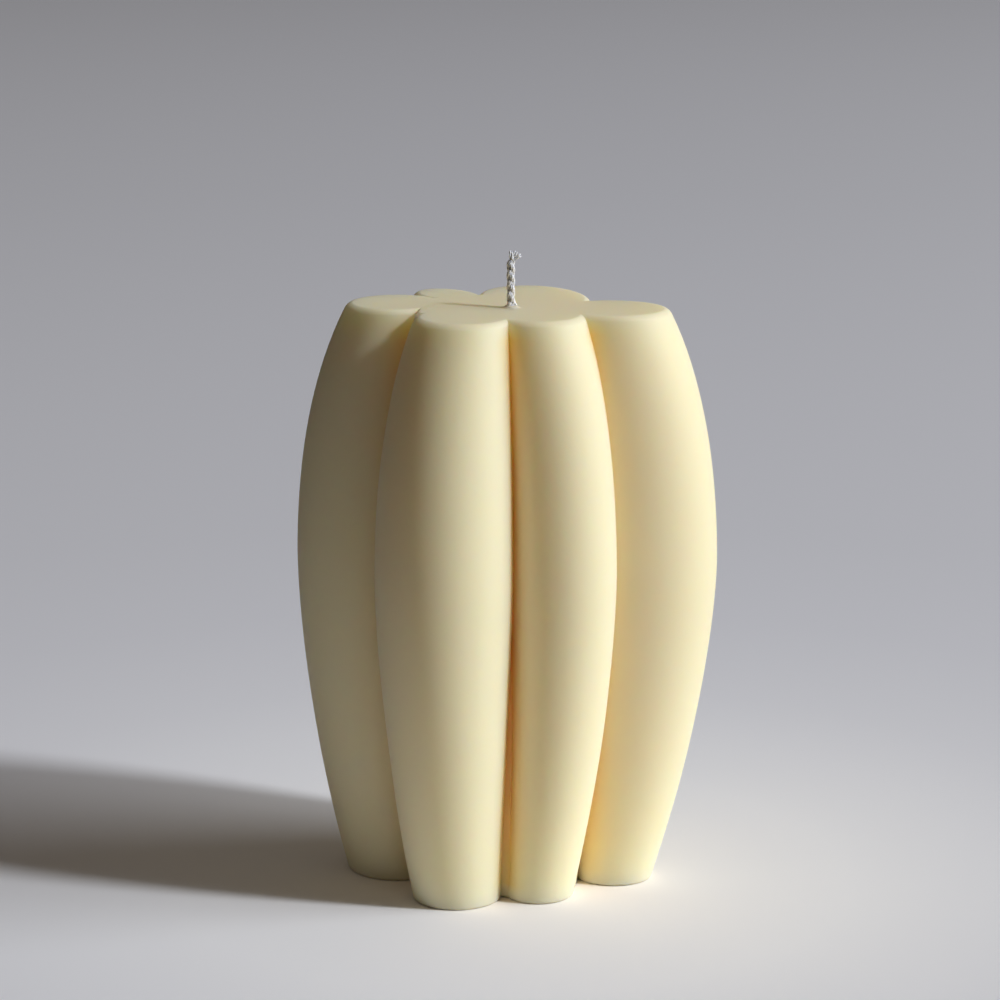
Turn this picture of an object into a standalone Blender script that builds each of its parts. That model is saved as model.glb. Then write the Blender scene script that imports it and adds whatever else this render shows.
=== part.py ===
"""Pillar candle cast as six round lobes round one wick.

Four pieces: the wax body, the plug of wax that closes the well in its base, the cotton wick
and the tinned steel tab that holds the wick's lower end.
Metres, +Z up. The candle stands on Z = 0 and its front faces -Y. The origin is the middle of
the box round it, the casting's centre is a little off it, and the wick stands a little in front
of that centre.
"""
import math
from typing import NamedTuple

import bmesh
import bpy

MM = 0.001

# Clearance between two pieces that touch
GAP = 0.3 * MM

# Wax body
BODY_HEIGHT = 135.0 * MM
BELLY_HEIGHT = 76.5 * MM
RIM_RADIUS = 1.3 * MM
BASE_EDGE_RADIUS = 0.6 * MM
SHOULDER_ARC = 0.8
# Powers of the curves that run from the belly down to the base
CENTRE_FOOT_POWER = 2.1
WIDTH_FOOT_POWER = 1.4
LOBE_SIDES = 32
RINGS_TO_BELLY = 7
RINGS_TO_RIM = 6
EDGE_STEPS = 3

# Bead of wax that climbs the wick where it leaves the body
BEAD_RADIUS = 2.7 * MM
BEAD_HEIGHT = 0.9 * MM
BEAD_LAND = 0.25 * MM
BEAD_STEPS = 4
BEAD_SIDES = 24

# Wick
WICK_DIAMETER = 2.2 * MM
WICK_TIP_DIAMETER = 1.7 * MM
WICK_EXPOSED = 13.0 * MM
WICK_LEAN = 0.9 * MM
WICK_LEAN_LENGTH = 4.5 * MM
WICK_LEAN_STEPS = 4
# How far the wick stands in front of the casting's centre
WICK_FORWARD = 2.3 * MM

# Well in the base, left as the wax shrinks, and the second pour that fills it
WELL_RADIUS = 12.5 * MM
WELL_TAPER = 2.0 * MM
WELL_DEPTH = 9.0 * MM
WELL_SIDES = 40

# Wick tab, a disc with a crimped neck
TAB_RADIUS = 7.5 * MM
TAB_THICKNESS = 0.5 * MM
TAB_RECESS = 0.6 * MM
NECK_WALL = 0.4 * MM
NECK_HEIGHT = 5.0 * MM
TAB_SIDES = 36

# How far a cutter passes the face that it opens
OVERCUT = 5.0 * MM
# Distance under which two points of a turned shape are one
MERGE = 0.01 * MM
# Faces that meet at less than this angle shade as one
SMOOTH_ANGLE = math.radians(40.0)


class Lobe(NamedTuple):
    """A lobe seen from above: its heading from the casting's centre in degrees, the distance of
    its own centre from there and its half width, each at the base, belly and top, its depth as
    a share of its width, and the turn of its long side from its heading in degrees."""

    name: str
    heading: tuple
    centre: tuple
    half_width: tuple
    depth_ratio: float
    turn: float = 0.0


class Crease(NamedTuple):
    """The bottom of a groove between two lobes: its heading from the casting's centre in degrees
    and its distance from there at the base, belly and top."""

    heading: float
    distance: tuple


# Heading of each lobe in degrees at the base, belly and top
LEFT_HEADING = (168.0, 168.0, 168.0)
FRONT_LEFT_HEADING = (-126.6, -124.0, -127.8)
FRONT_RIGHT_HEADING = (-66.6, -57.0, -60.0)
RIGHT_HEADING = (-5.5, -6.0, -6.0)
BACK_RIGHT_HEADING = (68.0, 68.0, 68.0)
BACK_LEFT_HEADING = (131.0, 131.0, 131.0)

# Distance of each lobe's centre from the casting's centre at the base, belly and top
LEFT_CENTRE = (27.0 * MM, 33.4 * MM, 27.0 * MM)
FRONT_LEFT_CENTRE = (20.8 * MM, 27.0 * MM, 17.2 * MM)
FRONT_RIGHT_CENTRE = (16.1 * MM, 21.0 * MM, 12.5 * MM)
RIGHT_CENTRE = (24.0 * MM, 29.7 * MM, 22.8 * MM)
BACK_RIGHT_CENTRE = (13.5 * MM, 16.0 * MM, 14.0 * MM)
BACK_LEFT_CENTRE = (21.9 * MM, 28.2 * MM, 22.2 * MM)

# Half the width of each lobe at the base, belly and top
LEFT_HALF_WIDTH = (12.0 * MM, 17.0 * MM, 11.0 * MM)
FRONT_LEFT_HALF_WIDTH = (10.2 * MM, 15.7 * MM, 11.0 * MM)
FRONT_RIGHT_HALF_WIDTH = (8.0 * MM, 12.5 * MM, 10.3 * MM)
RIGHT_HALF_WIDTH = (7.8 * MM, 15.5 * MM, 11.4 * MM)
BACK_RIGHT_HALF_WIDTH = (12.0 * MM, 18.0 * MM, 12.5 * MM)
BACK_LEFT_HALF_WIDTH = (6.5 * MM, 9.5 * MM, 6.6 * MM)

# Distance of each crease's bottom from the casting's centre at the base, belly and top
LEFT_CREASE = (20.5 * MM, 26.0 * MM, 23.5 * MM)
FRONT_CREASE = (18.5 * MM, 22.0 * MM, 20.5 * MM)
FRONT_RIGHT_CREASE = (18.5 * MM, 22.5 * MM, 20.0 * MM)
RIGHT_CREASE = (17.0 * MM, 19.0 * MM, 16.0 * MM)
BACK_CREASE = (15.0 * MM, 19.0 * MM, 18.0 * MM)
BACK_LEFT_CREASE = (21.0 * MM, 25.0 * MM, 23.0 * MM)

LOBES = (
    Lobe("lobe_left", LEFT_HEADING, LEFT_CENTRE, LEFT_HALF_WIDTH, 1.0),
    Lobe("lobe_front_left", FRONT_LEFT_HEADING, FRONT_LEFT_CENTRE, FRONT_LEFT_HALF_WIDTH, 1.0),
    Lobe("lobe_front_right", FRONT_RIGHT_HEADING, FRONT_RIGHT_CENTRE, FRONT_RIGHT_HALF_WIDTH, 1.0),
    Lobe("lobe_right", RIGHT_HEADING, RIGHT_CENTRE, RIGHT_HALF_WIDTH, 1.15),
    Lobe("lobe_back_right", BACK_RIGHT_HEADING, BACK_RIGHT_CENTRE, BACK_RIGHT_HALF_WIDTH, 1.35, 37.0),
    Lobe("lobe_back_left", BACK_LEFT_HEADING, BACK_LEFT_CENTRE, BACK_LEFT_HALF_WIDTH, 1.4),
)

CREASES = (
    Crease(-158.0, LEFT_CREASE),
    Crease(-91.0, FRONT_CREASE),
    Crease(-36.0, FRONT_RIGHT_CREASE),
    Crease(12.0, RIGHT_CREASE),
    Crease(114.0, BACK_CREASE),
    Crease(153.0, BACK_LEFT_CREASE),
)

# Sizes that follow from those above
WICK_RADIUS = WICK_DIAMETER / 2
CHANNEL_RADIUS = WICK_RADIUS + GAP
TAB_TOP = TAB_RECESS + TAB_THICKNESS
NECK_TOP = TAB_TOP + NECK_HEIGHT
NECK_RADIUS = WICK_RADIUS + GAP + NECK_WALL


def swell(height, sizes, foot_power):
    """Return a size at a height: an elliptic arc above the belly, a soft power curve below."""
    at_base, at_belly, at_top = sizes
    if height >= BELLY_HEIGHT:
        share = (height - BELLY_HEIGHT) / (BODY_HEIGHT - BELLY_HEIGHT)
        whole_drop = 1 - math.sqrt(1 - SHOULDER_ARC**2)
        drop = (1 - math.sqrt(1 - (SHOULDER_ARC * share) ** 2)) / whole_drop
        return at_belly + (at_top - at_belly) * drop
    share = (BELLY_HEIGHT - height) / BELLY_HEIGHT
    return at_belly + (at_base - at_belly) * share**foot_power


def levels():
    """Return the (height, inset) pairs of the body's rings, its two edges rounded."""
    rim_start = BODY_HEIGHT - RIM_RADIUS
    pairs = []
    for step in range(EDGE_STEPS):
        turn = math.pi / 2 * step / EDGE_STEPS
        pairs.append((BASE_EDGE_RADIUS * (1 - math.cos(turn)), BASE_EDGE_RADIUS * (1 - math.sin(turn))))
    for step in range(RINGS_TO_BELLY):
        pairs.append((BASE_EDGE_RADIUS + (BELLY_HEIGHT - BASE_EDGE_RADIUS) * step / RINGS_TO_BELLY, 0.0))
    for step in range(RINGS_TO_RIM + 1):
        pairs.append((BELLY_HEIGHT + (rim_start - BELLY_HEIGHT) * step / RINGS_TO_RIM, 0.0))
    for step in range(1, EDGE_STEPS + 1):
        turn = math.pi / 2 * step / EDGE_STEPS
        pairs.append((rim_start + RIM_RADIUS * math.sin(turn), RIM_RADIUS * (1 - math.cos(turn))))
    return pairs


def lobe_ring(lobe, height, inset):
    """Return a lobe's section at a height, an ellipse of the lobe's width and depth."""
    half_width = swell(height, lobe.half_width, WIDTH_FOOT_POWER)
    half_depth = half_width * lobe.depth_ratio
    centre = swell(height, lobe.centre, CENTRE_FOOT_POWER)
    heading = math.radians(swell(height, lobe.heading, CENTRE_FOOT_POWER))
    centre_x = centre * math.cos(heading)
    centre_y = centre * math.sin(heading)
    facing = math.radians(swell(BELLY_HEIGHT, lobe.heading, CENTRE_FOOT_POWER) + lobe.turn)
    ring = []
    for side in range(LOBE_SIDES):
        angle = 2 * math.pi * side / LOBE_SIDES
        out = (half_depth - inset) * math.cos(angle)
        across = (half_width - inset) * math.sin(angle)
        x = centre_x + out * math.cos(facing) - across * math.sin(facing)
        y = centre_y + out * math.sin(facing) + across * math.cos(facing)
        ring.append((x, y, height))
    return ring


def core_ring(height, inset):
    """Return the core's section at a height, one corner in each crease."""
    ring = []
    for crease in CREASES:
        heading = math.radians(crease.heading)
        distance = swell(height, crease.distance, CENTRE_FOOT_POWER) - inset
        ring.append((distance * math.cos(heading), distance * math.sin(heading), height))
    return ring


def casting_centre():
    """Return the centre's X and Y, which put the middle of the lobes' box on the origin."""
    points = [point for lobe in LOBES for point in lobe_ring(lobe, BELLY_HEIGHT, 0.0)]
    xs = [point[0] for point in points]
    ys = [point[1] for point in points]
    return -(min(xs) + max(xs)) / 2, -(min(ys) + max(ys)) / 2


def material(name, color, roughness, metallic=0.0):
    """Return a plain material."""
    made = bpy.data.materials.new(name)
    made.use_nodes = True
    shader = made.node_tree.nodes["Principled BSDF"]
    shader.inputs["Base Color"].default_value = (*color, 1.0)
    shader.inputs["Roughness"].default_value = roughness
    shader.inputs["Metallic"].default_value = metallic
    return made


def add_object(name, data, collection, location=(0.0, 0.0, 0.0)):
    """Link a new object to a collection and return it."""
    made = bpy.data.objects.new(name, data)
    made.location = location
    collection.objects.link(made)
    return made


def hide_guide(guide):
    """Mark an object as a cutter or guide that isn't part of the candle."""
    guide.hide_render = True
    guide.display_type = "WIRE"


def shade(mesh):
    """Shade a mesh smooth except across its sharp edges."""
    mesh.shade_smooth()
    mesh.set_sharp_from_angle(angle=SMOOTH_ANGLE)


def loft(name, rings, collection, location):
    """Return a closed body skinned over rings that run upwards and turn counter-clockwise."""
    mesh = bpy.data.meshes.new(name)
    bm = bmesh.new()
    loops = [[bm.verts.new(point) for point in ring] for ring in rings]
    for lower, upper in zip(loops, loops[1:]):
        for side in range(len(lower)):
            after = (side + 1) % len(lower)
            bm.faces.new((lower[side], lower[after], upper[after], upper[side]))
    bm.faces.new(list(reversed(loops[0])))
    bm.faces.new(loops[-1])
    bm.to_mesh(mesh)
    bm.free()
    shade(mesh)
    return add_object(name, mesh, collection, location)


def turned(name, profile, sides, collection, location, closed):
    """Return a body turned about Z from (radius, height) points down its outer side."""
    mesh = bpy.data.meshes.new(name)
    edges = [(point, point + 1) for point in range(len(profile) - 1)]
    if closed:
        edges.append((len(profile) - 1, 0))
    mesh.from_pydata([(radius, 0.0, height) for radius, height in profile], edges, [])
    made = add_object(name, mesh, collection, location)
    screw = made.modifiers.new("turn", "SCREW")
    screw.axis = "Z"
    screw.steps = sides
    screw.render_steps = sides
    screw.use_merge_vertices = True
    screw.merge_threshold = MERGE
    return made


def add_boolean(target, other, operation):
    """Join another body to the target, or cut the target with it."""
    boolean = target.modifiers.new(other.name, "BOOLEAN")
    boolean.operation = operation
    boolean.solver = "EXACT"
    boolean.object = other


def make_bead(collection, place):
    """Return the solid bead of wax round the wick's foot, its foot sunk in the body."""
    land = CHANNEL_RADIUS + BEAD_LAND
    profile = [(0.0, BODY_HEIGHT + BEAD_HEIGHT)]
    for step in range(BEAD_STEPS + 1):
        share = step / BEAD_STEPS
        radius = land + (BEAD_RADIUS - land) * share
        profile.append((radius, BODY_HEIGHT + BEAD_HEIGHT * (1 - share) ** 2))
    profile.append((BEAD_RADIUS, BODY_HEIGHT - BEAD_HEIGHT))
    profile.append((0.0, BODY_HEIGHT - BEAD_HEIGHT))
    return turned("wick_bead", profile, BEAD_SIDES, collection, place, closed=False)


def make_well(collection, place):
    """Return the cutter of the well in the base."""
    profile = [
        (0.0, WELL_DEPTH),
        (WELL_RADIUS - WELL_TAPER, WELL_DEPTH),
        (WELL_RADIUS, 0.0),
        (WELL_RADIUS, -OVERCUT),
        (0.0, -OVERCUT),
    ]
    return turned("base_well", profile, WELL_SIDES, collection, place, closed=False)


def make_channel(collection, place):
    """Return the cutter of the wick's channel, which runs right through."""
    top = BODY_HEIGHT + BEAD_HEIGHT + OVERCUT
    profile = [(0.0, top), (CHANNEL_RADIUS, top), (CHANNEL_RADIUS, -OVERCUT), (0.0, -OVERCUT)]
    return turned("wick_channel", profile, BEAD_SIDES, collection, place, closed=False)


def make_wax_body(parts, cutters, centre, place, wax):
    """Join the lobes, core and bead, then cut the well and the wick's channel."""
    body = loft("wax_body", [core_ring(height, inset) for height, inset in levels()], parts, centre)
    guides = []
    for lobe in LOBES:
        rings = [lobe_ring(lobe, height, inset) for height, inset in levels()]
        guides.append((loft(lobe.name, rings, cutters, centre), "UNION"))
    guides.append((make_bead(cutters, place), "UNION"))
    guides.append((make_well(cutters, place), "DIFFERENCE"))
    guides.append((make_channel(cutters, place), "DIFFERENCE"))
    for guide, operation in guides:
        hide_guide(guide)
        add_boolean(body, guide, operation)
    body.data.materials.append(wax)
    return body


def make_base_plug(parts, place, wax):
    """Fill the well with the second pour, shaped round the tab and the wick."""
    top = WELL_DEPTH - GAP
    tab_bore = TAB_RADIUS + GAP
    neck_bore = NECK_RADIUS + GAP
    profile = [
        (CHANNEL_RADIUS, top),
        (WELL_RADIUS - WELL_TAPER - GAP, top),
        (WELL_RADIUS - GAP, 0.0),
        (tab_bore, 0.0),
        (tab_bore, TAB_TOP + GAP),
        (neck_bore, TAB_TOP + GAP),
        (neck_bore, NECK_TOP + GAP),
        (CHANNEL_RADIUS, NECK_TOP + GAP),
    ]
    plug = turned("base_plug", profile, WELL_SIDES, parts, place, closed=True)
    plug.data.materials.append(wax)
    return plug


def make_wick_tab(parts, place, steel):
    """Turn the tab's disc and neck in one piece."""
    profile = [
        (CHANNEL_RADIUS, NECK_TOP),
        (NECK_RADIUS, NECK_TOP),
        (NECK_RADIUS, TAB_TOP),
        (TAB_RADIUS, TAB_TOP),
        (TAB_RADIUS, TAB_RECESS),
        (CHANNEL_RADIUS, TAB_RECESS),
    ]
    tab = turned("wick_tab", profile, TAB_SIDES, parts, place, closed=True)
    tab.data.materials.append(steel)
    return tab


def make_wick(parts, place, cotton):
    """Run the wick from the tab's underside to its tip, which leans to the right."""
    wick_top = BODY_HEIGHT + WICK_EXPOSED
    lean_start = wick_top - WICK_LEAN_LENGTH
    points = [(0.0, TAB_RECESS, 1.0), (0.0, BODY_HEIGHT, 1.0)]
    for step in range(WICK_LEAN_STEPS + 1):
        share = step / WICK_LEAN_STEPS
        radius = 1 + (WICK_TIP_DIAMETER / WICK_DIAMETER - 1) * share
        points.append((WICK_LEAN * share**2, lean_start + WICK_LEAN_LENGTH * share, radius))
    curve = bpy.data.curves.new("wick", "CURVE")
    curve.dimensions = "3D"
    curve.bevel_depth = WICK_RADIUS
    curve.bevel_resolution = 2
    curve.use_fill_caps = True
    spline = curve.splines.new("POLY")
    spline.points.add(len(points) - 1)
    for point, (x, z, radius) in zip(spline.points, points):
        point.co = (x, 0.0, z, 1.0)
        point.radius = radius
    wick = add_object("wick", curve, parts, place)
    curve.materials.append(cotton)
    return wick


def main():
    """Build the candle."""
    for old in list(bpy.data.objects):
        bpy.data.objects.remove(old, do_unlink=True)
    parts = bpy.data.collections.new("pillar_candle")
    cutters = bpy.data.collections.new("cutters")
    bpy.context.scene.collection.children.link(parts)
    bpy.context.scene.collection.children.link(cutters)

    wax = material("ivory_wax", (0.88, 0.82, 0.58), 0.45)
    cotton = material("waxed_cotton", (0.86, 0.84, 0.82), 0.9)
    steel = material("tinned_steel", (0.62, 0.62, 0.60), 0.35, metallic=1.0)

    centre_x, centre_y = casting_centre()
    centre = (centre_x, centre_y, 0.0)
    place = (centre_x, centre_y - WICK_FORWARD, 0.0)
    make_wax_body(parts, cutters, centre, place, wax)
    make_base_plug(parts, place, wax)
    make_wick(parts, place, cotton)
    make_wick_tab(parts, place, steel)


main()
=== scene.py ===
"""Looks of a pillar candle: an ivory casting of six round lobes, a second pour of wax that
closes the well in its base, a plaited cotton wick and the pressed tab that holds its foot.

Metres, +Z up. The candle stands on Z = 0, its front faces -Y, and the wick stands a little off
the origin, which is the middle of the candle's plan.
"""
from __future__ import annotations

import logging
import math
import random
from contextlib import contextmanager
from dataclasses import dataclass, field
from enum import Enum
from typing import Iterator, Sequence

import bpy
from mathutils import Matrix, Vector, noise

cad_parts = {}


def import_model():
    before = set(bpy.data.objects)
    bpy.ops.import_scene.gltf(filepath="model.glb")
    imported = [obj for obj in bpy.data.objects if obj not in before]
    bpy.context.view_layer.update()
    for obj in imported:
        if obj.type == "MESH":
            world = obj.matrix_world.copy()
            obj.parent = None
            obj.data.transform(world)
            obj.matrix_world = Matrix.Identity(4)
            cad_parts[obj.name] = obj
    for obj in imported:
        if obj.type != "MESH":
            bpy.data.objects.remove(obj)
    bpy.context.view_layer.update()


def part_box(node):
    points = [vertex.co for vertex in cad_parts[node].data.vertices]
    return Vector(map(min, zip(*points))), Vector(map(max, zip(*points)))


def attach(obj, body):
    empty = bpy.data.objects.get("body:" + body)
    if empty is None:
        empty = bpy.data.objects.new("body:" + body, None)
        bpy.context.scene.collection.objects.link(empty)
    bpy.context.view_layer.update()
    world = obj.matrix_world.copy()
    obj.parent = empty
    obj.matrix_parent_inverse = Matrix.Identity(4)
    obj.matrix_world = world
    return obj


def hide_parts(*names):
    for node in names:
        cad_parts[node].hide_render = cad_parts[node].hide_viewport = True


LOG = logging.getLogger("pillar_candle")

MM = 0.001
BODY = "root"

# The point attribute that marks the walls near the bottom of a groove, where a warm glow is painted
# into the wax's colour
GROOVE_GLOW_MARK = "groove"
# The most sides of a hole that Blender is asked to fill
SLIVER_SIDES = 8
# Points closer than this are one point
MERGE_DISTANCE = 0.004 * MM
# Faces that meet at less than this angle shade as one
SMOOTH_ANGLE = math.radians(38.0)
# How far the wick stands in front of the casting's centre
WICK_FORWARD = 2.3 * MM

Span = tuple[float, float, float]
Outline = Sequence[tuple[float, float]]
Path = list[tuple[Vector, float]]


class Join(Enum):
    """What a Boolean does with the second body."""

    FUSE = "UNION"
    CUT = "DIFFERENCE"


class Pour(Enum):
    """The two times that wax is poured."""

    BODY = "wax"
    PLUG = "plug_wax"


# Modelling steps that several pieces share


def take_up(piece: bpy.types.Object) -> None:
    """Make a piece the only selected object and the active one.

    Args:
        piece: The object that the next operators work on.
    """
    bpy.ops.object.select_all(action="DESELECT")
    piece.select_set(True)
    bpy.context.view_layer.objects.active = piece


@contextmanager
def editing(piece: bpy.types.Object) -> Iterator[None]:
    """Hold a piece in edit mode for as long as the block runs.

    Args:
        piece: The mesh that is edited.
    """
    take_up(piece)
    bpy.ops.object.mode_set(mode="EDIT")
    try:
        yield
    finally:
        bpy.ops.object.mode_set(mode="OBJECT")


def apply_modifier(piece: bpy.types.Object, modifier: bpy.types.Modifier) -> None:
    """Turn a modifier's result into the piece's own mesh."""
    take_up(piece)
    bpy.ops.object.modifier_apply(modifier=modifier.name)


def apply_place(piece: bpy.types.Object) -> None:
    """Move a piece's place, turn and scale into its mesh."""
    take_up(piece)
    bpy.ops.object.transform_apply(location=True, rotation=True, scale=True)


def close_and_orient(piece: bpy.types.Object) -> None:
    """Merge doubled points, drop loose ones, fill small holes and point every face outwards.

    It does not fill every hole: a sliver of 5 sides in the casting's top face stays open.

    Args:
        piece: The mesh that is mended.
    """
    with editing(piece):
        bpy.ops.mesh.select_all(action="SELECT")
        bpy.ops.mesh.remove_doubles(threshold=MERGE_DISTANCE)
        bpy.ops.mesh.delete_loose()
        bpy.ops.mesh.select_all(action="SELECT")
        bpy.ops.mesh.fill_holes(sides=SLIVER_SIDES)
        bpy.ops.mesh.select_all(action="SELECT")
        bpy.ops.mesh.normals_make_consistent(inside=False)


def shade_by_angle(piece: bpy.types.Object, angle: float = SMOOTH_ANGLE) -> None:
    """Shade a piece smooth except across its sharp edges."""
    take_up(piece)
    bpy.ops.object.shade_smooth_by_angle(angle=angle)


def add_circle(
    name: str,
    sides: int,
    fill: str = "NGON",
    radius: float = 1.0,
    place: Sequence[float] = (0.0, 0.0, 0.0),
) -> bpy.types.Object:
    """Add a flat circle that a piece starts from.

    Args:
        name: The new piece's name.
        sides: The number of its points.
        fill: NGON for a face, or NOTHING for a bare ring.
        radius: The circle's radius.
        place: The circle's middle.

    Returns:
        The circle, selected and active.
    """
    bpy.ops.object.select_all(action="DESELECT")
    bpy.ops.mesh.primitive_circle_add(vertices=sides, radius=radius, fill_type=fill, location=place)
    piece = bpy.context.object
    piece.name = name
    return piece


def report(piece: bpy.types.Object) -> None:
    """Log a finished piece."""
    LOG.info("%s: %d faces", piece.name, len(piece.data.polygons))


def combine(target: bpy.types.Object, other: bpy.types.Object, join: Join) -> None:
    """Fuse a second body to the target or cut the target with it, and remove the second.

    Args:
        target: The piece that is changed.
        other: The body that is used up.
        join: Whether the body is added or taken away.
    """
    boolean = target.modifiers.new(other.name, "BOOLEAN")
    boolean.operation = join.value
    boolean.solver = "EXACT"
    boolean.object = other
    apply_modifier(target, boolean)
    bpy.data.objects.remove(other, do_unlink=True)


def spin_outline(name: str, outline: Outline, sides: int, place: Vector) -> bpy.types.Object:
    """Spin a closed outline round the upright axis through a place.

    Args:
        name: The new piece's name.
        outline: (radius, height) points in order round the section.
        sides: The number of sides of the turned piece.
        place: A point on the axis, at height 0.

    Returns:
        The turned piece.
    """
    piece = add_circle(name, len(outline), "NOTHING")
    for vertex, (radius, height) in zip(piece.data.vertices, outline):
        vertex.co = place + Vector((radius, 0.0, height))
    with editing(piece):
        bpy.ops.mesh.select_all(action="SELECT")
        bpy.ops.mesh.spin(
            steps=sides, angle=2 * math.pi, center=place, axis=(0.0, 0.0, 1.0), use_auto_merge=False
        )
    close_and_orient(piece)
    return piece


def quarter_arc(
    centre: tuple[float, float], radius: float, start: float, steps: int
) -> list[tuple[float, float]]:
    """Return the points of a quarter circle in an outline.

    Args:
        centre: The arc's centre as (radius, height).
        radius: The arc's own radius.
        start: The angle in degrees that it starts at; it runs on by -90.
        steps: The number of steps.

    Returns:
        The points from the first to the last.
    """
    turns = [math.radians(start - 90.0 * step / steps) for step in range(steps + 1)]
    return [(centre[0] + radius * math.cos(t), centre[1] + radius * math.sin(t)) for t in turns]


# Finishes


def new_group(name: str, inputs: dict[str, float], outputs: dict[str, str]) -> bpy.types.NodeTree:
    """Start a shader node group.

    Args:
        name: The group's name.
        inputs: Its value inputs with their defaults.
        outputs: Its outputs with their socket types.

    Returns:
        The group, with its input and output nodes in place.
    """
    group = bpy.data.node_groups.new(name, "ShaderNodeTree")
    for label, value in inputs.items():
        socket = group.interface.new_socket(label, in_out="INPUT", socket_type="NodeSocketFloat")
        socket.default_value = value
    for label, kind in outputs.items():
        group.interface.new_socket(label, in_out="OUTPUT", socket_type=kind)
    group.nodes.new("NodeGroupInput")
    group.nodes.new("NodeGroupOutput")
    return group


def math_node(
    tree: bpy.types.NodeTree, operation: str, first: object, second: object
) -> bpy.types.NodeSocket:
    """Add a Math node.

    Args:
        tree: The node tree that it joins.
        operation: The node's operation.
        first: The first operand, a socket or a number.
        second: The second operand, a socket or a number.

    Returns:
        The node's output.
    """
    made = tree.nodes.new("ShaderNodeMath")
    made.operation = operation
    for slot, operand in zip(made.inputs, (first, second)):
        if isinstance(operand, (int, float)):
            slot.default_value = operand
        else:
            tree.links.new(operand, slot)
    return made.outputs[0]


def noise_node(
    tree: bpy.types.NodeTree, where: bpy.types.NodeSocket, scale: float, detail: float = 2.0
) -> bpy.types.NodeSocket:
    """Add a noise.

    Args:
        tree: The node tree that it joins.
        where: The position that it is read at.
        scale: Its cycles a metre.
        detail: How many finer octaves it has.

    Returns:
        The noise's value.
    """
    made = tree.nodes.new("ShaderNodeTexNoise")
    made.inputs["Scale"].default_value = scale
    made.inputs["Detail"].default_value = detail
    tree.links.new(where, made.inputs["Vector"])
    return made.outputs["Fac"]


def new_material(name: str) -> tuple[bpy.types.Material, bpy.types.Node]:
    """Start a material.

    Args:
        name: The material's name.

    Returns:
        The material and its Principled shader.
    """
    made = bpy.data.materials.new(name)
    made.use_nodes = True
    return made, made.node_tree.nodes["Principled BSDF"]


def colour_blend(
    tree: bpy.types.NodeTree, share: bpy.types.NodeSocket, first: object, second: object
) -> bpy.types.NodeSocket:
    """Add a blend of two colours.

    Args:
        tree: The node tree that it joins.
        share: How much of the second colour there is.
        first: A socket, or a linear colour.
        second: A socket, or a linear colour.

    Returns:
        The blended colour.
    """
    made = tree.nodes.new("ShaderNodeMix")
    made.data_type = "RGBA"
    tree.links.new(share, made.inputs["Factor"])
    for label, colour in (("A", first), ("B", second)):
        if isinstance(colour, tuple):
            made.inputs[label].default_value = (*colour, 1.0)
        else:
            tree.links.new(colour, made.inputs[label])
    return made.outputs["Result"]


def range_node(
    tree: bpy.types.NodeTree,
    value: bpy.types.NodeSocket,
    ends: tuple[float, float] = (0.0, 1.0),
    starts: tuple[float, float] = (0.0, 1.0),
) -> bpy.types.NodeSocket:
    """Add a Map Range node, which holds its result between the ends.

    Args:
        tree: The node tree that it joins.
        value: The value that is mapped.
        ends: The results at the two starts.
        starts: The values that give the two ends.

    Returns:
        The mapped value.
    """
    made = tree.nodes.new("ShaderNodeMapRange")
    labels = ("From Min", "From Max", "To Min", "To Max")
    for label, number in zip(labels, (*starts, *ends)):
        made.inputs[label].default_value = number
    tree.links.new(value, made.inputs["Value"])
    return made.outputs["Result"]


def link_bump(
    tree: bpy.types.NodeTree, height: bpy.types.NodeSocket, depth: float, shader: bpy.types.Node
) -> None:
    """Let a height dent a shader's surface.

    Args:
        tree: The node tree that holds them.
        height: The height, as a multiple of the depth; it may be negative.
        depth: How far a height of 1 stands out, in metres.
        shader: The shader whose normal it turns.
    """
    made = tree.nodes.new("ShaderNodeBump")
    made.inputs["Distance"].default_value = depth
    tree.links.new(height, made.inputs["Height"])
    tree.links.new(made.outputs["Normal"], shader.inputs["Normal"])


# Cycles a metre of a casting's broad clouds, finer veil, soft dimples and bloom
CLOUD_SCALE = 38.0
VEIL_SCALE = 140.0
SOFT_SCALE = 620.0
BLOOM_SCALE = 2600.0
# How clouds and veil share the tone, and how high the bloom stands beside the dimples
CLOUD_SHARE = 0.65
VEIL_SHARE = 0.35
BLOOM_HEIGHT = 0.35
# Pinholes: cells a metre, the share of cells without one, its radius in cells and its depth as
# a multiple of the relief
PIT_CELLS = 95.0
PIT_RARITY = 0.9
PIT_RADIUS = 0.018
PIT_DEPTH = 6.0


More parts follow.
